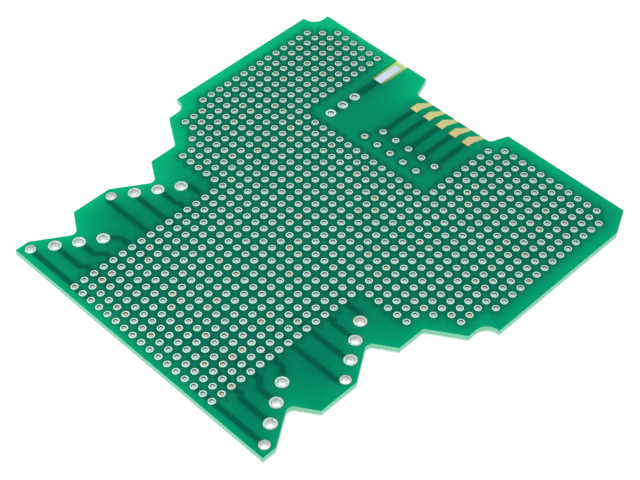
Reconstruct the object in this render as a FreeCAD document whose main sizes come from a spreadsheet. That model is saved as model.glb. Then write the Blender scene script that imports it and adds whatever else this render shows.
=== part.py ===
import FreeCAD, Part

import os

import Sketcher

# A bare two-sided prototyping board for a DIN-rail electronics housing: a laminate blank with
# plated-through holes, copper tracks under solder mask, five gold contacts for the rail bus and
# one tinned contact for the earthed rail.
# +X runs across the board, +Y towards the rail bus edge and +Z out of the track side.
# The origin is on the underside, in the middle of the rectangle that bounds the board.
# Lengths are millimetres. The holes lie on a grid whose zero hole is at (0, grid_zero_y).

DIMENSIONS = {
    # layers: the mask and the pads fill layer_thickness on each face of the laminate
    "board_thickness": 1.6,
    "layer_thickness": 0.06,
    "track_thickness": 0.04,
    # blank
    "half_width": 47.5,
    "half_length": 49.5,
    # waist, with two V notches on each side that clear the housing's terminal towers
    "waist_half_width": 36.55,
    "notch_vertex_y": -37.735,
    "notch_period": 21.6,
    "notch_depth": 5.47,
    "notch_below": 8.42,
    "notch_above": 3.55,
    "notch_radius": 1.5,
    # shoulders, and the steps at the corners of the wide half
    "shoulder_low_y": -5.605,
    "shoulder_high_y": -0.675,
    "shoulder_radius": 0.8,
    "step_inset": 3.4,
    "step_low_y": 4.625,
    "step_high_y": 44.875,
    "step_radius": 3.0,
    # the right half of the bus edge stands lower, with a sloped corner
    "right_edge_y": 48.425,
    "corner_cut_width": 3.0,
    "corner_cut_height": 6.1,
    # notch in the bus edge
    "bus_notch_x": 0.2,
    "bus_notch_half_floor": 10.82,
    "bus_notch_floor_y": 44.125,
    "bus_notch_slant": 0.384,
    "bus_notch_radius": 1.0,
    # plated-through holes
    "plating_thickness": 0.06,
    "mask_clearance": 0.05,
    "grid_pitch": 2.54,
    "grid_zero_y": -4.075,
    "grid_hole": 1.0,
    "grid_pad": 1.8,
    "bus_pitch": 3.81,
    "bus_row_a_y": 29.805,
    "bus_row_b_y": 25.925,
    "bus_row_b_shift": -1.905,
    "earth_x": -20.0,
    "earth_pitch": 3.8,
    "earth_low_y": 25.975,
    "earth_hole": 1.15,
    "earth_pad": 2.6,
    "terminal_first_x": 26.44,
    "terminal_first_y": -13.025,
    "terminal_step_x": 2.723,
    "terminal_step_y": 4.193,
    "terminal_hole": 1.9,
    "terminal_pad": 3.0,
    "terminal_end_pad": 2.5,
    # tracks; a bend is where a terminal's track turns towards its grid row
    "terminal_track_width": 1.3,
    "track_2_bend_x": 23.3,
    "track_6_bend_x": 24.5,
    "track_7_bend_x": 23.7,
    "bus_track_width": 1.35,
    "earth_track_width": 1.85,
    "earth_link_width": 1.2,
    # gold bus contacts: a block with a neck that leans across to the board's edge
    "contact_half_width": 1.02,
    "contact_low_y": 39.675,
    "contact_left_bend_y": 42.025,
    "contact_right_bend_y": 41.325,
    "contact_elbow_x": 1.76,
    "contact_elbow_y": 43.325,
    "contact_tip_left": 0.82,
    "contact_tip_right": 2.05,
    # tinned earth contact, in a window of the mask that runs off the board's edge
    "earth_contact_width": 2.1,
    "earth_contact_low_y": 41.025,
    "earth_contact_high_y": 48.125,
    "earth_window_half_width": 1.8,
}

# The hole grid as rectangles: first and last column, first and last row, counted in pitches.
GRID_BLOCKS = {
    "field": (-8, 8, -17, -2),
    "waist": (-13, 13, -1, 0),
    "shoulder": (-14, 14, 1, 1),
    "hip": (-16, 16, 2, 4),
    "middle": (-17, 17, 5, 10),
    "left_wing": (-17, -10, 11, 18),
    "left_wing_edge": (-16, -10, 19, 19),
    "left_wing_tip": (-15, -10, 20, 20),
    "right_wing": (5, 17, 11, 18),
    "right_wing_edge": (6, 16, 19, 19),
}

SIDES = {"left": -1, "right": 1}
BUS_CONTACTS = 5
EARTH_HOLES = 3
TERMINALS_PER_TOWER = 4
TOWERS = 2

# Terminal n's track links three holes of grid row -(2n + 1): these columns on its own side.
LINKED_COLUMNS = (8, 7, 6)
# Terminal 8 is level with its row. The other tracks bend at 45 degrees, at the terminal itself
# unless the sheet holds a bend for them.
LEVEL_TERMINAL = 8
LATE_BENDS = (2, 6, 7)
# For 45 degree bends: the shift of a mitred corner and of a square end, per half width.
MITRE = 0.41421
DIAGONAL = 0.70711


class Size:
    """A length worked out from the sheet: its value now, and the expression that holds it."""

    def __init__(self, value, text):
        self.value = value
        self.text = text

    def __add__(self, other):
        other = as_size(other)
        return Size(self.value + other.value, f"({self.text} + {other.text})")

    def __sub__(self, other):
        other = as_size(other)
        return Size(self.value - other.value, f"({self.text} - {other.text})")

    def __mul__(self, other):
        other = as_size(other)
        return Size(self.value * other.value, f"({self.text} * {other.text})")


def as_size(item):
    """The item itself if it is a Size, or a plain number made into one."""
    return item if isinstance(item, Size) else Size(float(item), f"({float(item)})")


def dim(name):
    """The named cell of the sheet."""
    return Size(DIMENSIONS[name], f"Dims.{name}")


def fill_sheet(document):
    """Writes every driving dimension to the sheet, beside its name."""
    sheet = document.addObject("Spreadsheet::Sheet", "Dims")
    for row, (name, value) in enumerate(DIMENSIONS.items(), start=1):
        sheet.set(f"A{row}", name)
        sheet.set(f"B{row}", str(value))
        sheet.setAlias(f"B{row}", name)
    document.recompute()


def new_body(name):
    """An empty body with its own label."""
    body = doc.addObject("PartDesign::Body", name)
    body.Label = name
    return body


def base_sketch(body, name, role="XY_Plane", height=None):
    """A sketch on one of the body's own origin planes, or at a height above it."""
    sketch = body.newObject("Sketcher::SketchObject", name)
    plane = next(item for item in body.Origin.OriginFeatures if item.Role == role)
    sketch.AttachmentSupport = [(plane, "")]
    sketch.MapMode = "FlatFace"
    if height is not None:
        sketch.setExpression("AttachmentOffset.Base.z", height.text)
    return sketch


def hold(sketch, kind, element, point, size):
    """Dimensions one point of the sketch from its origin."""
    constraint = Sketcher.Constraint(kind, -1, 1, element, point, size.value)
    index = sketch.addConstraint(constraint)
    sketch.setExpression(f"Constraints[{index}]", size.text)


def draw_outline(sketch, points):
    """Closes a ring of straight edges, each corner held by its own two dimensions."""
    first = sketch.GeometryCount
    corners = [FreeCAD.Vector(x.value, y.value, 0) for x, y in points]
    for start, end in zip(corners, corners[1:] + corners[:1]):
        sketch.addGeometry(Part.LineSegment(start, end), False)
    for index, (x, y) in enumerate(points):
        edge = first + index
        previous = first + (index - 1) % len(points)
        sketch.addConstraint(Sketcher.Constraint("Coincident", previous, 2, edge, 1))
        hold(sketch, "DistanceX", edge, 1, x)
        hold(sketch, "DistanceY", edge, 1, y)


def draw_circle(sketch, x, y, diameter):
    """One circle, held by its centre and diameter."""
    centre = FreeCAD.Vector(x.value, y.value, 0)
    circle = Part.Circle(centre, FreeCAD.Vector(0, 0, 1), diameter.value / 2)
    element = sketch.addGeometry(circle, False)
    hold(sketch, "DistanceX", element, 3, x)
    hold(sketch, "DistanceY", element, 3, y)
    index = sketch.addConstraint(Sketcher.Constraint("Diameter", element, diameter.value))
    sketch.setExpression(f"Constraints[{index}]", diameter.text)


def pad(body, sketch, length):
    """Raises the sketch by a length."""
    feature = body.newObject("PartDesign::Pad", f"{sketch.Name}_pad")
    feature.Profile = sketch
    feature.setExpression("Length", length.text)
    doc.recompute()
    return feature


def pocket_up(body, sketch, depth):
    """Cuts the sketch upwards out of the body, and makes sure that it takes something away."""
    before = body.Shape.Volume
    feature = body.newObject("PartDesign::Pocket", f"{sketch.Name}_pocket")
    feature.Profile = sketch
    feature.Reversed = True
    feature.setExpression("Length", depth.text)
    doc.recompute()
    if not body.Shape.Volume < before:
        raise ValueError(f"{feature.Name} cuts nothing")
    return feature


# ---------------------------------------------------------------- board blank


def right_side():
    """The right side's corners below the wide half's top, from the bottom edge upwards."""
    waist = dim("waist_half_width")
    inset = dim("half_width") - dim("step_inset")
    corners = [(waist, dim("half_length") * -1)]
    for tower in range(TOWERS):
        vertex = dim("notch_vertex_y") + dim("notch_period") * tower
        corners.append((waist, vertex - dim("notch_below")))
        corners.append((waist - dim("notch_depth"), vertex))
        corners.append((waist, vertex + dim("notch_above")))
    corners.append((waist, dim("shoulder_low_y")))
    corners.append((inset, dim("shoulder_high_y")))
    corners.append((inset, dim("step_low_y")))
    corners.append((dim("half_width"), dim("step_low_y")))
    return corners


def bus_notch(side, edge_y):
    """The bus notch's corners on one side: at the edge, then at the floor."""
    floor_x = dim("bus_notch_x") + dim("bus_notch_half_floor") * side
    rise = edge_y - dim("bus_notch_floor_y")
    return [
        (floor_x + dim("bus_notch_slant") * rise * side, edge_y),
        (floor_x, dim("bus_notch_floor_y")),
    ]


def blank_outline():
    """All the corners of the blank, anticlockwise from the bottom right."""
    side = right_side()
    top = dim("half_length")
    right_edge = dim("right_edge_y")
    inset = dim("half_width") - dim("step_inset")
    right_top = [
        (dim("half_width"), right_edge - dim("corner_cut_height")),
        (dim("half_width") - dim("corner_cut_width"), right_edge),
    ]
    left_top = [
        (inset * -1, top),
        (inset * -1, dim("step_high_y")),
        (dim("half_width") * -1, dim("step_high_y")),
    ]
    notch = bus_notch(1, right_edge) + bus_notch(-1, top)[::-1]
    left_side = [(x * -1, y) for x, y in reversed(side)]
    return side + right_top + notch + left_top + left_side


def rounded_corners():
    """The blank's inside corners, grouped by the cell that holds their radius."""
    side = right_side()
    mirrored = [(x * -1, y) for x, y in side]
    inset = dim("half_width") - dim("step_inset")
    notches = [
        corner
        for tower in range(TOWERS)
        for corner in (side[3 * tower + 2], mirrored[3 * tower + 2])
    ]
    step_left_high = (inset * -1, dim("step_high_y"))
    return {
        "notch_radius": notches,
        "shoulder_radius": [side[-4], mirrored[-4]],
        "step_radius": [side[-2], mirrored[-2], step_left_high],
        "bus_notch_radius": [bus_notch(1, dim("right_edge_y"))[1], bus_notch(-1, dim("half_length"))[1]],
    }


def upright_edge(shape, corner):
    """The name of the shape's upright edge at a corner."""
    place = FreeCAD.Vector(corner[0].value, corner[1].value, 0)
    for number, edge in enumerate(shape.Edges, start=1):
        ends = [vertex.Point for vertex in edge.Vertexes]
        if all(place.distanceToPoint(FreeCAD.Vector(end.x, end.y, 0)) < 0.001 for end in ends):
            return f"Edge{number}"
    raise ValueError(f"no upright edge at {place}")


def make_blank():
    """The undrilled laminate between the two outer layers, which gives every sheet its outline."""
    body = new_body("blank")
    sketch = base_sketch(body, "blank_outline", height=dim("layer_thickness"))
    draw_outline(sketch, blank_outline())
    feature = pad(body, sketch, core_thickness())
    for cell, corners in rounded_corners().items():
        fillet = body.newObject("PartDesign::Fillet", f"blank_{cell}")
        fillet.Base = (feature, [upright_edge(feature.Shape, corner) for corner in corners])
        fillet.setExpression("Radius", dim(cell).text)
        doc.recompute()
        feature = fillet
    return body


def core_thickness():
    """The laminate without its outer layers."""
    return dim("board_thickness") - dim("layer_thickness") * 2


def upper_layer():
    """The height at which the track side's layer starts."""
    return dim("board_thickness") - dim("layer_thickness")


# ---------------------------------------------------------------- plated-through holes


def hole_groups():
    """Every rectangle of equal plated holes, by the name of the node that holds its barrels."""
    pitch = dim("grid_pitch")
    bus = dim("bus_pitch")
    grid = {"hole": dim("grid_hole"), "pad": dim("grid_pad")}
    groups = {}
    for name, (first_column, last_column, first_row, last_row) in GRID_BLOCKS.items():
        groups[f"grid_barrels_{name}"] = {
            "start": (pitch * first_column, dim("grid_zero_y") + pitch * first_row),
            "step": (pitch, pitch),
            "count": (last_column - first_column + 1, last_row - first_row + 1),
            **grid,
        }
    bus_start = bus * (-(BUS_CONTACTS - 1) / 2)
    for name, x, y in (
        ("bus_barrels_row_a", bus_start, dim("bus_row_a_y")),
        ("bus_barrels_row_b", bus_start + dim("bus_row_b_shift"), dim("bus_row_b_y")),
    ):
        groups[name] = {"start": (x, y), "step": (bus, bus), "count": (BUS_CONTACTS, 1), **grid}
    groups["earth_barrels"] = {
        "start": (dim("earth_x"), dim("earth_low_y")),
        "step": (dim("earth_pitch"), dim("earth_pitch")),
        "count": (1, EARTH_HOLES),
        "hole": dim("earth_hole"),
        "pad": dim("earth_pad"),
    }
    for number in range(1, TERMINALS_PER_TOWER + 1):
        x, y = terminal_place(number + TERMINALS_PER_TOWER)
        groups[f"terminal_barrels_{number}"] = {
            "start": (x * -1, y),
            "step": (x * 2, dim("notch_period")),
            "count": (2, TOWERS),
            "hole": dim("terminal_hole"),
            "pad": terminal_pad(number),
        }
    return groups


def terminal_place(number):
    """Where the right side's terminal is: numbered from the shoulder down, along slanting rows."""
    tower, place = divmod(number - 1, TERMINALS_PER_TOWER)
    x = dim("terminal_first_x") + dim("terminal_step_x") * place
    y = dim("terminal_first_y") - dim("terminal_step_y") * place - dim("notch_period") * tower
    return x, y


def terminal_pad(number):
    """The outermost terminal of each tower has a smaller pad, to keep clear of the edge."""
    last = number % TERMINALS_PER_TOWER == 0
    return dim("terminal_end_pad") if last else dim("terminal_pad")


def make_barrels(name, group):
    """A rectangle of equal barrels: plating down the hole, with a pad at each end."""
    body = new_body(name)
    inner = group["hole"] * 0.5
    wall = inner + dim("plating_thickness")
    rim = group["pad"] * 0.5
    bottom = as_size(0)
    lower = dim("layer_thickness")
    profile = base_sketch(body, f"{name}_profile", role="XZ_Plane")
    draw_outline(profile, [
        (inner, bottom),
        (rim, bottom),
        (rim, lower),
        (wall, lower),
        (wall, upper_layer()),
        (rim, upper_layer()),
        (rim, dim("board_thickness")),
        (inner, dim("board_thickness")),
    ])
    barrel = body.newObject("PartDesign::Revolution", f"{name}_barrel")
    barrel.Profile = profile
    barrel.ReferenceAxis = (profile, ["V_Axis"])
    barrel.Angle = 360
    doc.recompute()
    repeat_barrels(body, barrel, group)
    body.setExpression("Placement.Base.x", group["start"][0].text)
    body.setExpression("Placement.Base.y", group["start"][1].text)
    return body


def repeat_barrels(body, barrel, group):
    """Repeats the barrel along the group's rows and columns."""
    columns, rows = group["count"]
    step_x, step_y = group["step"]
    axes = {item.Role: item for item in body.Origin.OriginFeatures}
    pattern = body.newObject("PartDesign::LinearPattern", f"{body.Name}_pattern")
    pattern.Originals = [barrel]
    pattern.Refine = False
    pattern.Direction = (axes["X_Axis"], [""])
    pattern.Occurrences = columns
    pattern.Direction2 = (axes["Y_Axis"], [""])
    pattern.Occurrences2 = rows
    pattern.setExpression("Length", (step_x * max(columns - 1, 1)).text)
    pattern.setExpression("Length2", (step_y * max(rows - 1, 1)).text)
    body.Tip = pattern


def hole_outlines(widening, size_name, height):
    """A circle for every plated hole, wider than its named size by the widening."""
    outlines = []
    for group in hole_groups().values():
        columns, rows = group["count"]
        radius = group[size_name].value / 2 + widening
        for column in range(columns):
            for row in range(rows):
                x = group["start"][0].value + group["step"][0].value * column
                y = group["start"][1].value + group["step"][1].value * row
                circle = Part.Circle(FreeCAD.Vector(x, y, height), FreeCAD.Vector(0, 0, -1), radius)
                outlines.append(Part.Wire(circle.toShape()))
    return outlines


# ---------------------------------------------------------------- laminate and solder mask


def drilled_sheet(blank, height, thickness, outlines):
    """A sheet of the blank's outline, with every hole outline left open."""
    floor = min(blank.Shape.Faces, key=lambda face: face.CenterOfMass.z)
    outer = floor.OuterWire.copy()
    outer.translate(FreeCAD.Vector(0, 0, height - floor.CenterOfMass.z))
    if Part.Face(outer).normalAt(0, 0).z < 0:
        outer.reverse()
    return Part.Face([outer] + outlines).extrude(FreeCAD.Vector(0, 0, thickness))


def add_sheet(name, shape):
    """A sheet as an object of its own. Its many round openings are made in one go, as one face."""
    sheet = doc.addObject("Part::Feature", name)
    sheet.Label = name
    sheet.Shape = shape
    return sheet


def make_laminate(blank):
    """The glass-epoxy core, drilled to the outside of every barrel's plating."""
    height = DIMENSIONS["layer_thickness"]
    outlines = hole_outlines(DIMENSIONS["plating_thickness"], "hole", height)
    return add_sheet("laminate_core", drilled_sheet(blank, height, core_thickness().value, outlines))


def make_lower_mask(blank):
    """Solder mask on the underside, open at every pad."""
    outlines = hole_outlines(DIMENSIONS["mask_clearance"], "pad", 0)
    return add_sheet("solder_mask_bottom", drilled_sheet(blank, 0, DIMENSIONS["layer_thickness"], outlines))


def make_upper_mask(blank, covered, window):
    """Solder mask on the track side, laid over the tracks and open at every pad and contact."""
    height = upper_layer().value
    outlines = hole_outlines(DIMENSIONS["mask_clearance"], "pad", height)
    sheet = drilled_sheet(blank, height, DIMENSIONS["layer_thickness"], outlines)
    tools = [item.Shape for item in covered] + [window.Shape]
    return add_sheet("solder_mask_top", sheet.cut(Part.Compound(tools)))


# ---------------------------------------------------------------- tracks


def track_body(name, corners, pads):
    """A flat copper track with the given outline, ending at the pads that it joins."""
    body = new_body(name)
    outline = base_sketch(body, f"{name}_outline", height=upper_layer())
    draw_outline(outline, corners)
    pad(body, outline, dim("track_thickness"))
    clearance = base_sketch(body, f"{name}_pads", height=upper_layer())
    for x, y, diameter in pads:
        draw_circle(clearance, x, y, diameter)
    pocket_up(body, clearance, dim("track_thickness"))
    return body


def terminal_track_outline(number):
    """The right side's track from a terminal to its grid row, as the corners of its outline."""
    half = dim("terminal_track_width") * 0.5
    x, y = terminal_place(number)
    row_y = dim("grid_zero_y") - dim("grid_pitch") * (2 * number + 1)
    end_x = dim("grid_pitch") * LINKED_COLUMNS[-1]
    inner_end = [(end_x, row_y + half), (end_x, row_y - half)]
    if number == LEVEL_TERMINAL:
        return [(x, row_y - half), (x, row_y + half)] + inner_end
    turn = 1 if row_y.value > y.value else -1
    rise = (row_y - y) * turn
    mitre = half * (MITRE * turn)
    if number in LATE_BENDS:
        bend_x = dim(f"track_{number}_bend_x")
        outer_end = [
            (bend_x - mitre, y - half),
            (x, y - half),
            (x, y + half),
            (bend_x + mitre, y + half),
        ]
    else:
        bend_x = x
        across = half * (DIAGONAL * turn)
        outer_end = [
            (x - across, y - half * DIAGONAL),
            (x + across, y + half * DIAGONAL),
        ]
    elbow_x = bend_x - rise
    return outer_end + [(elbow_x + mitre, row_y + half)] + inner_end + [(elbow_x - mitre, row_y - half)]


def make_terminal_track(side, number):
    """A terminal's track on one side of the board, with the three row links that it feeds."""
    sign = SIDES[side]
    corners = [(x * sign, y) for x, y in terminal_track_outline(number)]
    x, y = terminal_place(number)
    row_y = dim("grid_zero_y") - dim("grid_pitch") * (2 * number + 1)
    pads = [(x * sign, y, terminal_pad(number))]
    for column in LINKED_COLUMNS:
        pads.append((dim("grid_pitch") * (column * sign), row_y, dim("grid_pad")))
    return track_body(f"terminal_track_{side}_{number}", corners, pads)


def make_bus_track(number):
    """The straight track from a bus contact down to its hole in row A."""
    centre = dim("bus_pitch") * (number - (BUS_CONTACTS + 1) / 2)
    half = dim("bus_track_width") * 0.5
    low = dim("bus_row_a_y")
    high = dim("contact_low_y")
    corners = [
        (centre - half, low),
        (centre + half, low),
        (centre + half, high),
        (centre - half, high),
    ]
    return track_body(f"bus_track_{number}", corners, [(centre, low, dim("grid_pad"))])


def make_earth_track():
    """The wide track from the earth contact to its first hole, and the links to the other two."""
    centre = dim("earth_x")
    wide = dim("earth_track_width") * 0.5
    narrow = dim("earth_link_width") * 0.5
    low = dim("earth_low_y")
    first = low + dim("earth_pitch") * (EARTH_HOLES - 1)
    high = dim("earth_contact_low_y")
    corners = [
        (centre - narrow, low),
        (centre + narrow, low),
        (centre + narrow, first),
        (centre + wide, first),
        (centre + wide, high),
        (centre - wide, high),
        (centre - wide, first),
        (centre - narrow, first),
    ]
    pads = [(centre, low + dim("earth_pitch") * hole, dim("earth_pad")) for hole in range(EARTH_HOLES)]
    return track_body("earth_track", corners, pads)


# ---------------------------------------------------------------- edge contacts


def make_bus_contact(number):
    """A gold contact: a block over its track, with a neck leaning right to the notch's floor."""
    body = new_body(f"bus_contact_{number}")
    half = dim("contact_half_width")
    edge = dim("bus_notch_floor_y")
    sketch = base_sketch(body, f"bus_contact_{number}_outline", height=upper_layer())
    draw_outline(sketch, [
        (half * -1, dim("contact_low_y")),
        (half, dim("contact_low_y")),
        (half, dim("contact_right_bend_y")),
        (dim("contact_elbow_x"), dim("contact_elbow_y")),
        (dim("contact_tip_right"), edge),
        (dim("contact_tip_left"), edge),
        (half * -1, dim("contact_left_bend_y")),
    ])
    pad(body, sketch, dim("layer_thickness"))
    place = dim("bus_pitch") * (number - (BUS_CONTACTS + 1) / 2)
    body.setExpression("Placement.Base.x", place.text)
    return body


def make_box(name, centre_x, half_width, low_y, high_y):
    """A flat box in the track side's layer."""
    box = doc.addObject("Part::Box", name)
    box.Label = name
    box.setExpression("Length", (half_width * 2).text)
    box.setExpression("Width", (high_y - low_y).text)
    box.setExpression("Height", dim("layer_thickness").text)
    box.setExpression("Placement.Base.x", (centre_x - half_width).text)
    box.setExpression("Placement.Base.y", low_y.text)
    box.setExpression("Placement.Base.z", upper_layer().text)
    return box


def check_document():
    """Stops if any object failed to rebuild."""
    doc.recompute()
    for item in doc.Objects:
        if "Invalid" in item.State or "Error" in item.State:
            raise ValueError(f"{item.Name} failed: {item.State}")


def write_nodes(nodes):
    """Writes each node's shape to its own file, once it is known to be sound."""
    for node in nodes:
        if node.Shape.isNull() or not node.Shape.isValid() or not node.Shape.Solids:
            raise ValueError(f"{node.Label} has no sound solid")
        node.Shape.exportStep(f"parts/{node.Label}.step")
        print(f"{node.Label}: {len(node.Shape.Solids)} solids, {node.Shape.Volume:.3f} mm3")


os.makedirs("parts", exist_ok=True)
doc = FreeCAD.newDocument("prototyping_board")
fill_sheet(doc)

blank_body = make_blank()
barrels = [make_barrels(name, group) for name, group in hole_groups().items()]
tracks = [
    make_terminal_track(side, number)
    for side in SIDES
    for number in range(1, TOWERS * TERMINALS_PER_TOWER + 1)
]
tracks += [make_bus_track(number) for number in range(1, BUS_CONTACTS + 1)]
tracks.append(make_earth_track())
contacts = [make_bus_contact(number) for number in range(1, BUS_CONTACTS + 1)]
earth_contact = make_box(
    "earth_contact",
    dim("earth_x"),
    dim("earth_contact_width") * 0.5,
    dim("earth_contact_low_y"),
    dim("earth_contact_high_y"),
)
earth_window = make_box(
    "earth_window",
    dim("earth_x"),
    dim("earth_window_half_width"),
    dim("earth_contact_low_y"),
    dim("half_length"),
)
check_document()

sheets = [
    make_laminate(blank_body),
    make_lower_mask(blank_body),
    make_upper_mask(blank_body, tracks + contacts, earth_window),
]
check_document()
write_nodes(sheets + barrels + tracks + contacts + [earth_contact])
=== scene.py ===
import math
import random

import bmesh
import bpy
import numpy as np
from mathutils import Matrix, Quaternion, Vector
from mathutils.geometry import delaunay_2d_cdt
from mathutils.kdtree import KDTree


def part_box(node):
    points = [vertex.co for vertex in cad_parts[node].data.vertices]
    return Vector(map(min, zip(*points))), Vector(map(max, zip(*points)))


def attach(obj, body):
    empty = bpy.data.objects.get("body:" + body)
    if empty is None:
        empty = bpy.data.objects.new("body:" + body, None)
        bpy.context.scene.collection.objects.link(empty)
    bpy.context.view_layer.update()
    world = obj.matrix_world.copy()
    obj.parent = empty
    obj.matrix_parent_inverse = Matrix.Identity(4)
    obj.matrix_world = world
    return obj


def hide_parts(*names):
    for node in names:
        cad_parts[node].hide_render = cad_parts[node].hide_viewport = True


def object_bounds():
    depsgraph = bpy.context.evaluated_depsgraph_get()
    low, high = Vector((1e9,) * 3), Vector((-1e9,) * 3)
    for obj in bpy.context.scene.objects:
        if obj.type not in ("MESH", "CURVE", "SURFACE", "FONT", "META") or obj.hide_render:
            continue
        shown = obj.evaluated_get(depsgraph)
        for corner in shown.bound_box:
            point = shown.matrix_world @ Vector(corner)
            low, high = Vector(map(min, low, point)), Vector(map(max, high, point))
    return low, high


# A bare prototyping board on a pale floor. Lengths in this script are millimetres in the frame's
# own axes, and become metres where a mesh, a lamp or the camera is made.
MM = 0.001

# Heights of the finished surfaces, measured inwards from the board's outer faces.
MASK_DEPTH = 0.018
TRACK_RIB = 0.014
PAD_DEPTH = 0.002
CONTACT_DEPTH = 0.008

# How closely the frame's points have to agree: in height to lie on one face, and in decimals to be
# one point. Plan points that the triangles share agree more closely still, and an edge whose square
# is less than the last value has no length.
SAME_HEIGHT = 0.001
SAME_PLACE = 4
SAME_POINT = 1e-6
NO_LENGTH = 1e-12

# The rounding of a sheet's rims, the share of it that the slanted lip takes, the least divisor of a
# mitre, which keeps a sharp corner from running far out, and the least angle that is drawn sharp.
RIM_ROUND = 0.02
LIP_SHARE = 0.3
MITRE_LIMIT = 0.3
SHARP_ANGLE = math.radians(35)

# The width of the slope and of the change of colour at a track's edge, the spacing of the points
# along it, and the spacing of the points in the open, which is half the pitch of the grid.
RIB_SLOPE = 0.16
TRACK_BLUR = 0.4
GUIDE_STEP = 0.9
LATTICE_STEP = 1.27

# The sides of a small and of a wide ring, from which pad and hole radius a ring is wide, and how
# far a visible pad or contact stands back from its outline in the frame.
BARREL_SEGMENTS = 18
WIDE_BARREL_SEGMENTS = 36
WIDE_BARREL_RADIUS = 1.2
WIDE_HOLE_RADIUS = 0.8
PAD_INSET = 0.08
CONTACT_INSET = 0.04

# The outer layer on each face, the sleeve of a barrel inside the laminate, how far the tin down a
# hole is out of round, and how far the tin on a pad sags to one side.
LAYER = 0.06
SLEEVE = 0.058
HOLE_OVAL = SLEEVE / 3
TIN_SAG = 0.006
WIDE_TIN_SAG = 0.02

# How far the painted glow of the mask reaches in from the board's edge, and how far from the middle
# of a small pad the painted shade among the pads starts and is darkest. Beside a track the painted
# shade takes this share of that, and beside a gold contact the mask loses this share of its glow, as
# painted shade, out to a common reach.
GLOW_REACH = 14.0
PAD_SHADE_FAR = 2.3
PAD_SHADE_NEAR = 1.27
COPPER_REACH = 3.4
TRACK_SHADE = 0.5
CONTACT_SHADE = 0.35

# The clear window round the earth contact: how far it reaches to each side, and its inner end.
WINDOW_HALF_WIDTH = 1.63
WINDOW_LOW_Y = 41.0

# The brightness of the surround, that of the floor's own light, and how far the floor reaches.
ROOM_LIGHT = 0.72
FLOOR_LIGHT = 0.72
FLOOR_REACH = 3000.0

# The camera looks at the target from this distance, in millimetres and degrees. Azimuth 0 looks
# along +Y, and a positive roll turns the camera anticlockwise.
CAMERA_TARGET = (5.46, -3.161, 1.6)
CAMERA_DISTANCE = 338.63
CAMERA_AZIMUTH = 44.138
CAMERA_ELEVATION = 47.196
CAMERA_ROLL = 0.824
CAMERA_LENS = 92.11

random.seed(7)

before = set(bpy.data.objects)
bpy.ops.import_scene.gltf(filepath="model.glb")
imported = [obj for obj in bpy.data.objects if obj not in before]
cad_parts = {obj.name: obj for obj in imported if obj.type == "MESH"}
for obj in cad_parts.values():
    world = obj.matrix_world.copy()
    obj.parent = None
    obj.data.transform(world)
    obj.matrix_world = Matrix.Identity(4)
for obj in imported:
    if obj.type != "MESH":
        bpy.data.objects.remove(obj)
cad_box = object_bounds()


# ---------------------------------------------------------------- reading the frame


def node_arrays(name):
    """A frame node's corner points, joined where they meet, and its triangles."""
    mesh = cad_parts[name].data
    mesh.calc_loop_triangles()
    points = np.empty(len(mesh.vertices) * 3)
    mesh.vertices.foreach_get("co", points)
    points = points.reshape(-1, 3) / MM
    triangles = np.empty(len(mesh.loop_triangles) * 3, dtype=np.int64)
    mesh.loop_triangles.foreach_get("vertices", triangles)
    places, joined = np.unique(np.round(points, SAME_PLACE), axis=0, return_inverse=True)
    triangles = joined.reshape(-1)[triangles].reshape(-1, 3)
    return places, triangles


def flat_loops(name, height):
    """The closed border loops, as plan points, of the node's flat face at a height."""
    points, triangles = node_arrays(name)
    flat = triangles[(np.abs(points[triangles][:, :, 2] - height) < SAME_HEIGHT).all(axis=1)]
    edges = np.vstack([flat[:, [0, 1]], flat[:, [1, 2]], flat[:, [2, 0]]])
    known = {(int(a), int(b)) for a, b in edges}
    following = {a: b for a, b in known if (b, a) not in known}
    loops = []
    while following:
        start, point = following.popitem()
        loop = [start]
        while point != start:
            loop.append(point)
            point = following.pop(point)
        loops.append(points[loop][:, :2])
    return loops


def round_loop(loop):
    """The middle and the radius of a round loop, as (x, y, radius)."""
    centre = (loop.min(axis=0) + loop.max(axis=0)) / 2
    return centre[0], centre[1], np.linalg.norm(loop - centre, axis=1).mean()


def split_outline(loops):
    """The outer loop, and every round opening as (x, y, radius)."""
    spans = [np.ptp(loop, axis=0).max() for loop in loops]
    outer = loops[int(np.argmax(spans))]
    return outer, [round_loop(loop) for loop in loops if loop is not outer]


def record_nodes(prefix):
    """The frame's node names that start with a prefix, in order."""
    return sorted(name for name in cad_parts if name.startswith(prefix))


def barrel_places(name):
    """Each barrel of a node as (x, y, pad radius, hole radius).

    Half of the loops are holes, and the larger half are pads."""
    rounds = sorted((radius, x, y) for x, y, radius in map(round_loop, flat_loops(name, TOP)))
    hole = rounds[0][0]
    return [(x, y, pad, hole) for pad, x, y in rounds[len(rounds) // 2 :]]


LEFT, FRONT, BOTTOM = (value / MM for value in cad_box[0])
RIGHT, BACK, TOP = (value / MM for value in cad_box[1])
TRACK_TOP = TOP - LAYER / 3
EARTH_X = sum(corner[0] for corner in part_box("earth_contact")) / 2 / MM
GRID_PLACE = barrel_places("grid_barrels_field")[0][:2]
BOARD_OUTLINE = split_outline(flat_loops("laminate_core", TOP - LAYER))[0]


# ---------------------------------------------------------------- plan geometry


def circle_points(x, y, radius, count):
    """Evenly spaced plan points, anticlockwise."""
    angles = np.arange(count) * (2 * math.pi / count)
    return np.column_stack([x + radius * np.cos(angles), y + radius * np.sin(angles)])


def ring_segments(radius):
    """How many sides a round opening or a pad is drawn with."""
    return WIDE_BARREL_SEGMENTS if radius > WIDE_BARREL_RADIUS else BARREL_SEGMENTS


def eased(share):
    """A share from 0 to 1 with a soft start and end."""
    return share * share * (3 - 2 * share)


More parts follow.
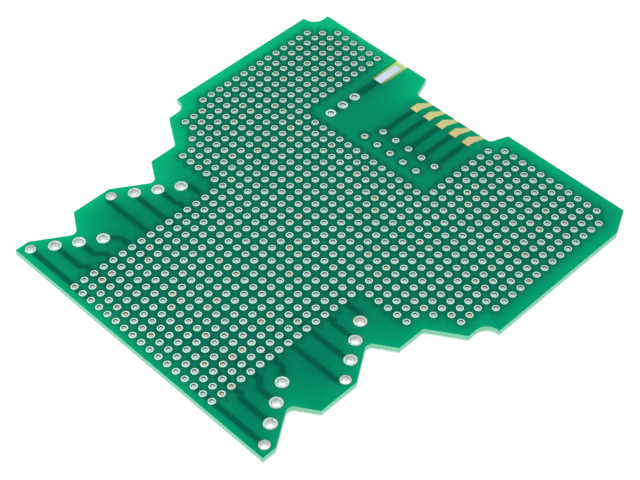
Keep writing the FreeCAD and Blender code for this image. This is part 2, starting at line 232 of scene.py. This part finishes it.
def distance_to_loop(points, loop):
    """The distance from each plan point to a closed loop."""
    nearest = np.full(len(points), np.inf)
    for start, end in zip(loop, np.roll(loop, -1, axis=0)):
        along = end - start
        share = ((points - start) @ along / max(along @ along, NO_LENGTH)).clip(0, 1)
        gap = points - start - share[:, None] * along
        nearest = np.minimum(nearest, np.hypot(gap[:, 0], gap[:, 1]))
    return nearest


def inside(points, loop):
    """Which plan points lie inside a closed loop."""
    found = np.zeros(len(points), dtype=bool)
    for start, end in zip(loop, np.roll(loop, -1, axis=0)):
        crosses = (start[1] > points[:, 1]) != (end[1] > points[:, 1])
        if start[1] != end[1]:
            rise = (points[:, 1] - start[1]) / (end[1] - start[1])
            found ^= crosses & (points[:, 0] < start[0] + rise * (end[0] - start[0]))
    return found


def offset_loop(loop, distance):
    """The loop moved outwards by a distance, with its corners mitred."""
    before = loop - np.roll(loop, 1, axis=0)
    after = np.roll(loop, -1, axis=0) - loop
    before = before / np.linalg.norm(before, axis=1)[:, None]
    after = after / np.linalg.norm(after, axis=1)[:, None]
    following = np.roll(loop, -1, axis=0)
    area = (loop[:, 0] * following[:, 1] - loop[:, 1] * following[:, 0]).sum()
    tangent = (before + after) * math.copysign(1, area)
    normal = np.column_stack([tangent[:, 1], -tangent[:, 0]])
    mitre = np.maximum(1 + (before * after).sum(axis=1), MITRE_LIMIT)
    return loop + normal * (distance / mitre)[:, None]


def rows_beside(loop, distances):
    """Rows of points at distances outside a closed loop, in step with one another."""
    lengths = np.linalg.norm(np.roll(loop, -1, axis=0) - loop, axis=1)
    counts = np.maximum(1, np.round(lengths / GUIDE_STEP)).astype(int)
    rows = []
    for distance in distances:
        row = offset_loop(loop, distance)
        for start, end, count in zip(row, np.roll(row, -1, axis=0), counts):
            rows.append(start + (end - start) * (np.arange(count) / count)[:, None])
    return np.vstack(rows)


def track_cover(points, tracks, slope):
    """From 0 beside a track to 1 on top of it, along a slope of this width at its edge."""
    share = np.zeros(len(points))
    for loop in tracks:
        low = loop.min(axis=0) - slope
        high = loop.max(axis=0) + slope
        near = np.flatnonzero(((points > low) & (points < high)).all(axis=1))
        if len(near):
            gap = distance_to_loop(points[near], loop)
            depth = np.where(inside(points[near], loop), gap, -gap)
            ramp = np.clip(depth / slope + 0.5, 0, 1)
            share[near] = np.maximum(share[near], eased(ramp))
    return share


def clear_points(points, outer, openings, border_gap):
    """The plan points that lie on a sheet, clear of its border and its openings."""
    keep = inside(points, outer) & (distance_to_loop(points, outer) > border_gap)
    for x, y, radius in openings:
        keep &= np.hypot(points[:, 0] - x, points[:, 1] - y) > radius + border_gap
    return points[keep]


def spread_points(outer, openings, tracks):
    """Points inside a sheet: a lattice in step with the pads, and rows beside the tracks' edges."""
    low = outer.min(axis=0)
    high = outer.max(axis=0)
    first = low + (np.array(GRID_PLACE) - low) % LATTICE_STEP
    xs, ys = np.meshgrid(
        np.arange(first[0], high[0], LATTICE_STEP),
        np.arange(first[1], high[1], LATTICE_STEP),
    )
    lattice = np.column_stack([xs.ravel(), ys.ravel()])
    points = [clear_points(lattice, outer, openings, LATTICE_STEP / 5)]
    distances = (TRACK_BLUR / 2, RIB_SLOPE / 2, 0, -RIB_SLOPE / 2, -TRACK_BLUR / 2)
    for loop in tracks:
        rows = rows_beside(loop, distances)
        points.append(clear_points(rows, outer, openings, RIM_ROUND * 2))
    return np.vstack(points)


def triangulate(borders, openings, spread):
    """Triangles between the borders, of which the first is the outer one.

    Returns the plan points, the triangles, and where each border's points are among the plan
    points."""
    points = np.vstack(borders + [spread])
    edges = []
    first = 0
    for border in borders:
        count = len(border)
        edges += [(first + i, first + (i + 1) % count) for i in range(count)]
        first += count
    plan, _, found, origins, _, _ = delaunay_2d_cdt(
        [Vector(point) for point in points.tolist()], edges, [], 0, SAME_POINT, True
    )
    plan = np.array([tuple(point) for point in plan])
    found = np.array(found)
    place = np.zeros(len(points), dtype=int)
    for index, sources in enumerate(origins):
        place[list(sources)] = index
    middles = plan[found].mean(axis=1)
    keep = inside(middles, borders[0])
    for x, y, radius in openings:
        near = np.flatnonzero(np.abs(middles - (x, y)).max(axis=1) < radius)
        gap = np.hypot(middles[near, 0] - x, middles[near, 1] - y)
        keep[near[gap < radius]] = False
    ends = np.cumsum([len(border) for border in borders])
    return plan, found[keep], [place[end - len(b) : end] for end, b in zip(ends, borders)]


# ---------------------------------------------------------------- pieces


def add_piece(name, points, faces, replaced, material):
    """A closed mesh piece, given in millimetres, that stands for some of the frame's nodes."""
    mesh = bpy.data.meshes.new(name)
    mesh.from_pydata((np.asarray(points) * MM).tolist(), [], faces)
    work = bmesh.new()
    work.from_mesh(mesh)
    bmesh.ops.recalc_face_normals(work, faces=work.faces)
    work.to_mesh(mesh)
    work.free()
    mesh.shade_smooth()
    mesh.set_sharp_from_angle(angle=SHARP_ANGLE)
    mesh.materials.append(material)
    piece = bpy.data.objects.new(name, mesh)
    bpy.context.scene.collection.objects.link(piece)
    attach(piece, "root")
    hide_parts(*replaced)
    return piece


def set_values(piece, name, values):
    """Stores one number per corner point, for the material to read."""
    layer = piece.data.attributes.new(name, "FLOAT", "POINT")
    layer.data.foreach_set("value", np.asarray(values, dtype=np.float32))


def sheet_mesh(outer, openings, tracks, face, back):
    """A closed sheet with rounded rims, from its hidden back to its finished face.

    The face rises over the tracks. Returns the points and the faces."""
    up = math.copysign(1, face - back)
    circles = [circle_points(x, y, r, ring_segments(r)) for x, y, r in openings]
    edges = [outer] + circles
    grown = [(x, y, r + RIM_ROUND) for x, y, r in openings]
    shrunk = [offset_loop(outer, -RIM_ROUND)]
    shrunk += [circle_points(x, y, r, ring_segments(r - RIM_ROUND)) for x, y, r in grown]
    spread = spread_points(outer, openings, tracks)
    plan, triangles, places = triangulate(shrunk, grown, spread)
    cover = track_cover(plan, tracks, RIB_SLOPE) * up * TRACK_RIB
    count = len(plan)
    points = [
        np.column_stack([plan, np.full(count, face) + cover]),
        np.column_stack([plan, np.full(count, back)]),
    ]
    faces = triangles.tolist() + (triangles[:, ::-1] + count).tolist()
    total = 2 * count
    for edge, inset, place in zip(edges, shrunk, places):
        size = len(edge)
        lip = edge + (inset - edge) * LIP_SHARE
        heights = [face - up * RIM_ROUND * LIP_SHARE, face - up * RIM_ROUND, back]
        for flat, height in zip([lip, edge, edge], heights):
            points.append(np.column_stack([flat, np.full(size, height)]))
        rows = [place, *(total + size * row + np.arange(size) for row in range(3)), place + count]
        total += 3 * size
        for upper, lower in zip(rows, rows[1:]):
            quads = np.column_stack([upper, lower, np.roll(lower, -1), np.roll(upper, -1)])
            faces += quads.tolist()
    return np.vstack(points), faces


def barrel_profile(pad, hole):
    """Half of a barrel's section, from the foot of its pad into the hole, as (radius, depth)."""
    land = pad - hole
    return [
        (pad, LAYER),
        (pad, 0.4 * LAYER),
        (pad - 0.1 * land, 0.12 * LAYER),
        (pad - 0.35 * land, 0),
        (hole + 0.3 * land, 0.04 * LAYER),
        (hole + 0.14 * land, 0.5 * LAYER),
        (hole, 2.5 * LAYER),
    ]


def barrel_points(x, y, pad, hole, segments):
    """A barrel's points, row by row round its section, and how many rows there are.

    The rows run over the upper pad, down the hole, over the lower pad, and back up the sleeve."""
    half = barrel_profile(pad - PAD_INSET, hole)
    top = TOP - PAD_DEPTH
    bottom = BOTTOM + PAD_DEPTH
    section = [(r, top - depth) for r, depth in half]
    section += [(r, bottom + depth) for r, depth in reversed(half)]
    section += [(hole + SLEEVE, BOTTOM + LAYER), (hole + SLEEVE, TOP - LAYER)]
    angles = np.arange(segments) * (2 * math.pi / segments)
    lean = random.uniform(0, 2 * math.pi)
    swell = random.uniform(0.2, 1) * (WIDE_TIN_SAG if pad > WIDE_BARREL_RADIUS else TIN_SAG)
    lumps = 1 - (2 * np.cos(angles - lean) + np.cos(3 * angles + lean)) / 3
    rows = []
    for r, z in section:
        exposed = TOP - LAYER < z or z < BOTTOM + LAYER
        sag = swell * lumps / 2 if exposed else np.zeros(segments)
        side = 1 if z > (TOP + BOTTOM) / 2 else -1
        wall = np.full(segments, r)
        if not exposed and r == hole:
            wall = r + HOLE_OVAL * (1 + np.cos(2 * (angles - lean))) / 2
        rows.append(
            np.column_stack([x + wall * np.cos(angles), y + wall * np.sin(angles), z - side * sag])
        )
    return np.vstack(rows), len(section)


def ring_faces(first, rows, segments):
    """The faces of a closed ring, from the number of its first point."""
    faces = []
    for row in range(rows):
        here = first + row * segments + np.arange(segments)
        there = first + (row + 1) % rows * segments + np.arange(segments)
        faces += np.column_stack([here, there, np.roll(there, -1), np.roll(here, -1)]).tolist()
    return faces


def add_barrels(name, material):
    """The plated holes of one node, each with a domed tin pad on both faces."""
    points = []
    faces = []
    tints = []
    total = 0
    for x, y, pad, hole in barrel_places(name):
        segments = ring_segments(pad)
        made, rows = barrel_points(x, y, pad, hole, segments)
        points.append(made)
        tints += [random.random()] * len(made)
        faces += ring_faces(total, rows, segments)
        total += len(made)
    piece = add_piece(f"tin_{name}", np.vstack(points), faces, [name], material)
    set_values(piece, "tint", tints)
    set_values(piece, "wide", [float(hole > WIDE_HOLE_RADIUS)] * total)


def nearness(points, loops):
    """From 1 at the border of a loop to 0 beyond the reach."""
    gap = np.full(len(points), np.inf)
    for loop in loops:
        gap = np.minimum(gap, distance_to_loop(points, loop))
    return np.clip(1 - gap / COPPER_REACH, 0, 1)


def painted_pad_shade(points, openings, tracks):
    """Painted shade on the mask: from 0 in the open to 1 where pads and tracks keep the light out of
    it.
    """
    small = [(x, y) for x, y, radius in openings if radius < WIDE_BARREL_RADIUS]
    tree = KDTree(len(small))
    for index, (x, y) in enumerate(small):
        tree.insert((x, y, 0), index)
    tree.balance()
    pad_gap = np.array([tree.find((x, y, 0))[2] for x, y in points.tolist()])
    share = np.clip((PAD_SHADE_FAR - pad_gap) / (PAD_SHADE_FAR - PAD_SHADE_NEAR), 0, 1)
    return eased(np.maximum(share, TRACK_SHADE * nearness(points, tracks)))


def add_mask(name, side, tracks, contacts, material):
    """A solder mask sheet with an opening round every pad."""
    surface, inner = (TOP, TOP - LAYER) if side > 0 else (BOTTOM, BOTTOM + LAYER)
    outer, openings = split_outline(flat_loops(name, surface))
    face = surface - side * MASK_DEPTH
    points, faces = sheet_mesh(outer, openings, tracks, face, inner)
    piece = add_piece(f"{name}_coat", points, faces, [name], material)
    plan = points[:, :2]
    # A painted glow of light leaking in at the board's edge, which painted shade dims beside the
    # gold contacts.
    glow = 1 - np.clip(distance_to_loop(plan, BOARD_OUTLINE) / GLOW_REACH, 0, 1)
    set_values(piece, "glow", glow * (1 - CONTACT_SHADE * nearness(plan, contacts)))
    set_values(piece, "track", track_cover(plan, tracks, TRACK_BLUR))
    # Painted shade among the pads and beside the tracks.
    set_values(piece, "pad_shade", painted_pad_shade(plan, openings, tracks))


def add_contact(name, material):
    """A contact plate with softened edges."""
    outer, _ = split_outline(flat_loops(name, TOP))
    plate = offset_loop(outer, -CONTACT_INSET)
    points, faces = sheet_mesh(plate, [], [], TOP - CONTACT_DEPTH, TOP - LAYER)
    add_piece(f"{name}_plate", points, faces, [name], material)


# ---------------------------------------------------------------- materials


class Shader:
    """A material's node tree, with short ways to add and join nodes."""

    def __init__(self, name):
        self.material = bpy.data.materials.new(name)
        self.material.use_nodes = True
        self.tree = self.material.node_tree
        self.surface = self.tree.nodes["Principled BSDF"]

    def add(self, kind, inputs=(), **settings):
        """A node with its settings, and its inputs as (name or number, value or socket)."""
        node = self.tree.nodes.new(kind)
        for key, value in settings.items():
            setattr(node, key, value)
        for key, value in inputs:
            self.put(node, key, value)
        return node

    def put(self, node, key, value):
        """Joins a socket to an input, or sets the input to a constant."""
        if isinstance(value, bpy.types.NodeSocket):
            self.tree.links.new(value, node.inputs[key])
        else:
            node.inputs[key].default_value = value

    def finish(self, **values):
        """Sets inputs of the surface, named with underscores for spaces."""
        for key, value in values.items():
            self.put(self.surface, key.replace("_", " "), value)
        return self.material

    def place(self):
        """The place on the object, in millimetres."""
        where = self.add("ShaderNodeTexCoord").outputs["Object"]
        scale = [("Vector", where), ("Scale", 1 / MM)]
        return self.add("ShaderNodeVectorMath", scale, operation="SCALE").outputs["Vector"]

    def number(self, name):
        """A value stored on the mesh."""
        return self.add("ShaderNodeAttribute", attribute_name=name).outputs["Fac"]

    def noise(self, where, scale, detail=2, roughness=0.5):
        """Noise from 0 to 1, with so many lumps to the millimetre."""
        inputs = [("Vector", where), ("Scale", scale), ("Detail", detail), ("Roughness", roughness)]
        return self.add("ShaderNodeTexNoise", inputs).outputs["Fac"]

    def remap(self, value, start, end, low=0.0, high=1.0, smooth=False):
        """The value moved from one range to another, and held inside it."""
        inputs = [
            ("Value", value),
            ("From Min", start),
            ("From Max", end),
            ("To Min", low),
            ("To Max", high),
        ]
        kind = "SMOOTHSTEP" if smooth else "LINEAR"
        return self.add("ShaderNodeMapRange", inputs, interpolation_type=kind).outputs["Result"]

    def maths(self, operation, first, second=0.0):
        """Arithmetic on one or two values."""
        return self.add("ShaderNodeMath", [(0, first), (1, second)], operation=operation).outputs[0]

    def gap(self, first, second):
        """How far two values are apart."""
        return self.maths("ABSOLUTE", self.maths("SUBTRACT", first, second))

    def mix(self, share, first, second):
        """A blend of two colours."""
        inputs = [("Factor", share), (6, first), (7, second)]
        return self.add("ShaderNodeMix", inputs, data_type="RGBA").outputs[2]

    def ramp(self, value, stops):
        """Colours along a value, as (position, colour)."""
        node = self.add("ShaderNodeValToRGB", [("Fac", value)])
        points = node.color_ramp.elements
        while len(points) < len(stops):
            points.new(1)
        for point, (position, colour) in zip(points, stops):
            point.position = position
            point.color = colour
        return node.outputs["Color"]

    def corners(self, across, along, low_left, low_right, high_left, high_right):
        """A colour blended from those at the four corners of the board."""
        low = self.mix(across, low_left, low_right)
        high = self.mix(across, high_left, high_right)
        return self.mix(along, low, high)

    def axis(self, where, name):
        """One coordinate of a place."""
        return self.add("ShaderNodeSeparateXYZ", [("Vector", where)]).outputs[name]

    def scaled(self, where, scale):
        """A place scaled axis by axis, which draws noise out along the smaller ones."""
        return self.add("ShaderNodeMapping", [("Vector", where), ("Scale", scale)]).outputs["Vector"]

    def rubbed(self, where):
        """Noise drawn out along Y, as on a contact that slides into its socket."""
        return self.noise(self.scaled(where, (3.0, 0.5, 1.0)), 1.0, 2)

    def bump(self, height, distance, strength=1.0):
        """A bumped normal from a height between 0 and 1."""
        inputs = [("Height", height), ("Distance", distance * MM), ("Strength", strength)]
        return self.add("ShaderNodeBump", inputs).outputs["Normal"]


def tone(red, green, blue):
    """A colour given as display values from 0 to 255, made linear."""
    shares = [value / 255 for value in (red, green, blue)]
    linear = [s / 12.92 if s <= 0.04045 else ((s + 0.055) / 1.055) ** 2.4 for s in shares]
    return (*linear, 1.0)


def mask_material():
    """Glossy green mask with painted light: a glow at the edge, shade among the pads; deep over the
    tracks.
    """
    shader = Shader("solder_mask_green")
    where = shader.place()
    glow = shader.number("glow")
    pad_shade = shader.number("pad_shade")
    across = shader.remap(shader.axis(where, "X"), LEFT, RIGHT)
    along = shader.remap(shader.axis(where, "Y"), FRONT, BACK)
    # The plain mask and its glow carry a painted light across the board, brighter to the left and
    # the back.
    open_tones_painted_light = (tone(0, 130, 92), tone(0, 120, 89), tone(0, 142, 102), tone(0, 130, 95))
    rim_glow_tones = (tone(0, 172, 116), tone(0, 144, 104), tone(0, 190, 126), tone(0, 164, 116))
    # Painted shade among the pads darkens the plain mask to deep green.
    plain = shader.mix(pad_shade, shader.corners(across, along, *open_tones_painted_light), tone(4, 95, 73))
    # The mask's painted glow at the board's edge.
    rim_glow = shader.corners(across, along, *rim_glow_tones)
    # The painted glow fades faster towards the right and among the pads, as painted light and shade.
    falloff = shader.remap(pad_shade, 0, 1, shader.remap(across, 0, 1, 2.3, 3.6), 5.5)
    base = shader.mix(shader.maths("POWER", glow, falloff), plain, rim_glow)
    weave = shader.noise(where, 1.6, 3)
    base = shader.mix(shader.remap(weave, 0.35, 0.7, 0, 0.12), base, tone(0, 150, 100))
    cloud = shader.noise(where, 0.09, 2)
    base = shader.mix(shader.remap(cloud, 0.35, 0.7, 0, 0.14), base, tone(0, 108, 80))
    over_track = shader.maths("MULTIPLY", shader.number("track"), 0.94)
    colour = shader.mix(over_track, base, tone(0, 88, 66))
    fine = shader.noise(where, 9.0, 4, 0.6)
    ripple = shader.noise(where, 0.7, 2)
    height = shader.maths("ADD", shader.maths("MULTIPLY", fine, 0.25), ripple)
    return shader.finish(
        Base_Color=colour,
        Roughness=shader.remap(fine, 0.3, 0.7, 0.30, 0.44),
        Specular_IOR_Level=0.02,
        Normal=shader.bump(height, 0.012, 0.5),
    )


def tin_material():
    """Hot-levelled tin over copper: pale pads, a shaded rim just inside the hole, pale below."""
    shader = Shader("tin_over_copper")
    where = shader.place()
    tint = shader.number("tint")
    wide = shader.number("wide")
    depth = shader.maths("SUBTRACT", TOP, shader.axis(where, "Z"))
    middle = (TOP - BOTTOM) / 2
    sunk = shader.maths("SUBTRACT", middle, shader.gap(depth, middle))
    blotch = shader.noise(where, 1.3, 4, 0.6)
    grain = shader.noise(where, 14.0, 3)
    bright = shader.mix(tint, tone(184, 250, 233), tone(208, 254, 242))
    bright = shader.mix(shader.remap(blotch, 0.45, 0.75, 0, 0.3), bright, tone(170, 212, 200))
    # About one hole in ten has a warmer inside.
    odd = shader.remap(tint, 0.86, 0.94)
    lit = shader.mix(odd, tone(239, 246, 243), tone(238, 231, 217))
    shade = shader.mix(odd, tone(106, 112, 108), tone(116, 104, 90))
    # The shade under the lip fades out at this depth, and is weaker in a wide hole.
    reach = shader.remap(wide, 0, 1, 0.56, 1.1)
    strength = shader.remap(wide, 0, 1, 1.0, 0.45)
    mouth = shader.maths("MULTIPLY", strength, shader.remap(depth, 0.24, reach, 1, 0, smooth=True))
    throat = shader.mix(mouth, lit, shade)
    solder = shader.noise(where, 2.6, 4, 0.7)
    mottle = shader.maths("MULTIPLY", wide, shader.remap(solder, 0.5, 0.6, 0, 0.6))
    colour = shader.mix(shader.remap(sunk, 0.006, 0.03, smooth=True), bright, throat)
    lumps = shader.maths("ADD", blotch, shader.maths("MULTIPLY", grain, 0.3))
    rough = shader.maths("ADD", lumps, shader.maths("MULTIPLY", wide, solder))
    return shader.finish(
        Base_Color=shader.mix(mottle, colour, tone(132, 142, 142)),
        Metallic=shader.remap(sunk, 0.08, 0.2, 0.5, 0.15),
        Roughness=shader.remap(grain, 0.3, 0.7, 0.26, 0.46),
        Normal=shader.bump(rough, 0.03, 0.7),
    )


def gold_material():
    """Gold plating: yellow to peach along the row, paler towards the board's edge in a painted
    highlight.
    """
    shader = Shader("gold_plating")
    where = shader.place()
    # A painted highlight pales the contacts towards the board's edge.
    edge = shader.remap(shader.axis(where, "Y"), 41.0, 44.2, smooth=True)
    across = shader.remap(shader.axis(where, "X"), -9, 10)
    blotch = shader.noise(where, 0.9, 3)
    warm = shader.mix(across, tone(214, 222, 144), tone(220, 204, 150))
    warm = shader.mix(shader.remap(blotch, 0.4, 0.65, 0, 0.5), warm, tone(232, 194, 140))
    marks = shader.rubbed(where)
    return shader.finish(
        Base_Color=shader.mix(shader.maths("MULTIPLY", edge, 0.6), warm, tone(192, 226, 150)),
        Metallic=0.6,
        Roughness=shader.remap(marks, 0.3, 0.7, 0.3, 0.44),
        Normal=shader.bump(marks, 0.006, 0.3),
    )


def earth_material():
    """The bare tinned contact: smooth, bluish white, lightly scuffed."""
    shader = Shader("tinned_contact")
    where = shader.place()
    marks = shader.rubbed(where)
    blotch = shader.noise(where, 0.8, 3)
    return shader.finish(
        Base_Color=shader.mix(blotch, tone(208, 226, 240), tone(222, 234, 244)),
        Metallic=0.5,
        Roughness=shader.remap(marks, 0.3, 0.7, 0.3, 0.44),
        Normal=shader.bump(marks, 0.006, 0.3),
    )


def copper_material():
    """Etched copper foil, darkened by the film of mask that runs over it."""
    shader = Shader("etched_copper")
    where = shader.place()
    grain = shader.noise(where, 6.0, 4, 0.6)
    stain = shader.noise(where, 0.5, 2)
    return shader.finish(
        Base_Color=shader.mix(stain, tone(66, 96, 66), tone(48, 84, 60)),
        Metallic=0.3,
        Roughness=shader.remap(grain, 0.3, 0.7, 0.35, 0.55),
        Normal=shader.bump(grain, 0.01, 0.6),
    )


def cut_edge(shader, where, fibres, speck):
    """Cut laminate: minty layers paling at the bottom in a painted glow, with a dashed darker band
    of glass bundles.
    """
    height = shader.remap(shader.axis(where, "Z"), BOTTOM, TOP)
    # Near the bottom the tones pale to near white: a painted glow of light from the floor beneath.
    layers_and_painted_glow = shader.ramp(height, [
        (0.0, tone(226, 246, 236)),
        (0.12, tone(204, 238, 222)),
        (0.28, tone(160, 214, 190)),
        (0.37, tone(112, 184, 154)),
        (0.45, tone(124, 206, 170)),
        (0.7, tone(114, 208, 170)),
        (0.92, tone(106, 212, 170)),
        (1.0, tone(116, 220, 180)),
    ])
    band = shader.remap(shader.gap(height, 0.32), 0, 0.2, 1, 0)
    dashes = shader.maths("MULTIPLY", band, shader.remap(speck, 0.5, 0.6, 0, 0.75))
    edge = shader.mix(shader.remap(fibres, 0.4, 0.7, 0, 0.22), layers_and_painted_glow, tone(214, 242, 222))
    return shader.mix(dashes, edge, tone(86, 140, 116))


def bare_face(shader, where):
    """The colour of bare laminate in the earth window, and a dark green painted shade round it."""
    along = shader.axis(where, "Y")
    face = shader.mix(shader.remap(along, 41.5, 49.0), tone(66, 138, 76), tone(172, 208, 118))
    face = shader.mix(shader.remap(along, 48.5, 49.4), face, tone(214, 226, 172))
    cloth = shader.noise(where, 2.2, 3)
    face = shader.mix(shader.remap(cloth, 0.4, 0.7, 0, 0.2), face, tone(150, 190, 110))
    # Outside the window the face is painted shade, dark green, as in the shadowed gaps round the
    # pads.
    beside = shader.maths(
        "GREATER_THAN", shader.gap(shader.axis(where, "X"), EARTH_X), WINDOW_HALF_WIDTH
    )
    below = shader.maths("LESS_THAN", along, WINDOW_LOW_Y)
    return shader.mix(shader.maths("MAXIMUM", beside, below), face, tone(10, 94, 68))


def laminate_material():
    """Glass-epoxy: woven and yellow-green in the earth window, painted shade on the rest of the
    face, minty cut edge.
    """
    shader = Shader("glass_epoxy")
    where = shader.place()
    fibres = shader.noise(shader.scaled(where, (1.1, 1.1, 14.0)), 1.0, 5, 0.65)
    speck = shader.noise(where, 3.4, 4, 0.6)
    edge = cut_edge(shader, where, fibres, speck)
    face = bare_face(shader, where)
    facing = shader.add("ShaderNodeNewGeometry").outputs["Normal"]
    upward = shader.maths("ABSOLUTE", shader.axis(facing, "Z"))
    relief = shader.maths("ADD", fibres, shader.maths("MULTIPLY", speck, 0.4))
    return shader.finish(
        Base_Color=shader.mix(shader.remap(upward, 0.4, 0.6), edge, face),
        Roughness=shader.remap(speck, 0.3, 0.7, 0.5, 0.72),
        Specular_IOR_Level=0.35,
        Normal=shader.bump(relief, 0.03, 0.7),
    )


def floor_material():
    """A plain, nearly white surface that is lit from beneath, like a light table."""
    shader = Shader("pale_floor")
    cloud = shader.noise(shader.place(), 0.02, 2)
    return shader.finish(
        Base_Color=shader.mix(cloud, tone(170, 170, 170), tone(176, 176, 176)),
        Roughness=0.9,
        Specular_IOR_Level=0.1,
        Emission_Color=(1.0, 1.0, 1.0, 1.0),
        Emission_Strength=FLOOR_LIGHT,
    )


# ---------------------------------------------------------------- the board


def paint(piece, material):
    """Gives a node of the frame one material."""
    piece.data.materials.clear()
    piece.data.materials.append(material)


def build_board():
    """Paints the nodes that are shown as they are, and covers the others with finer pieces."""
    laminate = laminate_material()
    copper = copper_material()
    mask = mask_material()
    tin = tin_material()
    gold = gold_material()
    earth = earth_material()
    tracks = record_nodes("terminal_track_") + record_nodes("bus_track_") + ["earth_track"]
    for name, material in [("laminate_core", laminate)] + [(track, copper) for track in tracks]:
        paint(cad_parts[name], material)
    outlines = [loop for name in tracks for loop in flat_loops(name, TRACK_TOP)]
    contacts = [loop for name in record_nodes("bus_contact_") for loop in flat_loops(name, TOP)]
    add_mask("solder_mask_top", 1, outlines, contacts, mask)
    add_mask("solder_mask_bottom", -1, [], [], mask)
    barrels = ["earth_barrels"]
    for prefix in ("grid_barrels_", "bus_barrels_", "terminal_barrels_"):
        barrels += record_nodes(prefix)
    for name in barrels:
        add_barrels(name, tin)
    for name in record_nodes("bus_contact_"):
        add_contact(name, gold)
    add_contact("earth_contact", earth)


# ---------------------------------------------------------------- stage, light and camera


def make_floor(material):
    """A wide pale floor under the board."""
    corners = [
        (x * FLOOR_REACH, y * FLOOR_REACH, BOTTOM)
        for x, y in ((-1, -1), (1, -1), (1, 1), (-1, 1))
    ]
    mesh = bpy.data.meshes.new("floor")
    mesh.from_pydata((np.array(corners) * MM).tolist(), [], [(0, 1, 2, 3)])
    mesh.materials.append(material)
    floor = bpy.data.objects.new("floor", mesh)
    bpy.context.scene.collection.objects.link(floor)


def add_lamp(name, place, target, size, power):
    """A square soft lamp, turned to a target, with its size in millimetres and power in watts."""
    data = bpy.data.lights.new(name, "AREA")
    data.size = size * MM
    data.energy = power
    lamp = bpy.data.objects.new(name, data)
    bpy.context.scene.collection.objects.link(lamp)
    lamp.location = Vector(place) * MM
    lamp.rotation_mode = "QUATERNION"
    lamp.rotation_quaternion = (Vector(target) - Vector(place)).to_track_quat("-Z", "Y")


def make_world(strength):
    """An even, nearly white surround."""
    world = bpy.data.worlds.new("studio")
    world.use_nodes = True
    background = world.node_tree.nodes["Background"]
    background.inputs["Color"].default_value = (1.0, 1.0, 1.0, 1.0)
    background.inputs["Strength"].default_value = strength
    bpy.context.scene.world = world


def make_camera():
    """The camera at the reference viewpoint: from the right and in front, looking down."""
    data = bpy.data.cameras.new("camera")
    data.lens = CAMERA_LENS
    data.sensor_width = 36.0
    data.clip_start = 0.01
    data.clip_end = 10.0
    camera = bpy.data.objects.new("camera", data)
    bpy.context.scene.collection.objects.link(camera)
    azimuth = math.radians(CAMERA_AZIMUTH)
    elevation = math.radians(CAMERA_ELEVATION)
    back = Vector((
        math.sin(azimuth) * math.cos(elevation),
        -math.cos(azimuth) * math.cos(elevation),
        math.sin(elevation),
    ))
    turn = (-back).to_track_quat("-Z", "Y") @ Quaternion((0, 0, 1), math.radians(CAMERA_ROLL))
    camera.location = (Vector(CAMERA_TARGET) + back * CAMERA_DISTANCE) * MM
    camera.rotation_mode = "QUATERNION"
    camera.rotation_quaternion = turn
    bpy.context.scene.camera = camera


build_board()
make_floor(floor_material())
make_world(ROOM_LIGHT)
add_lamp("key", (-200, -160, 340), (0, 0, 0), 260, 0.75)
add_lamp("fill", (260, -60, 300), (0, 0, 0), 300, 0.25)
make_camera()
bpy.context.scene.view_settings.view_transform = "Standard"
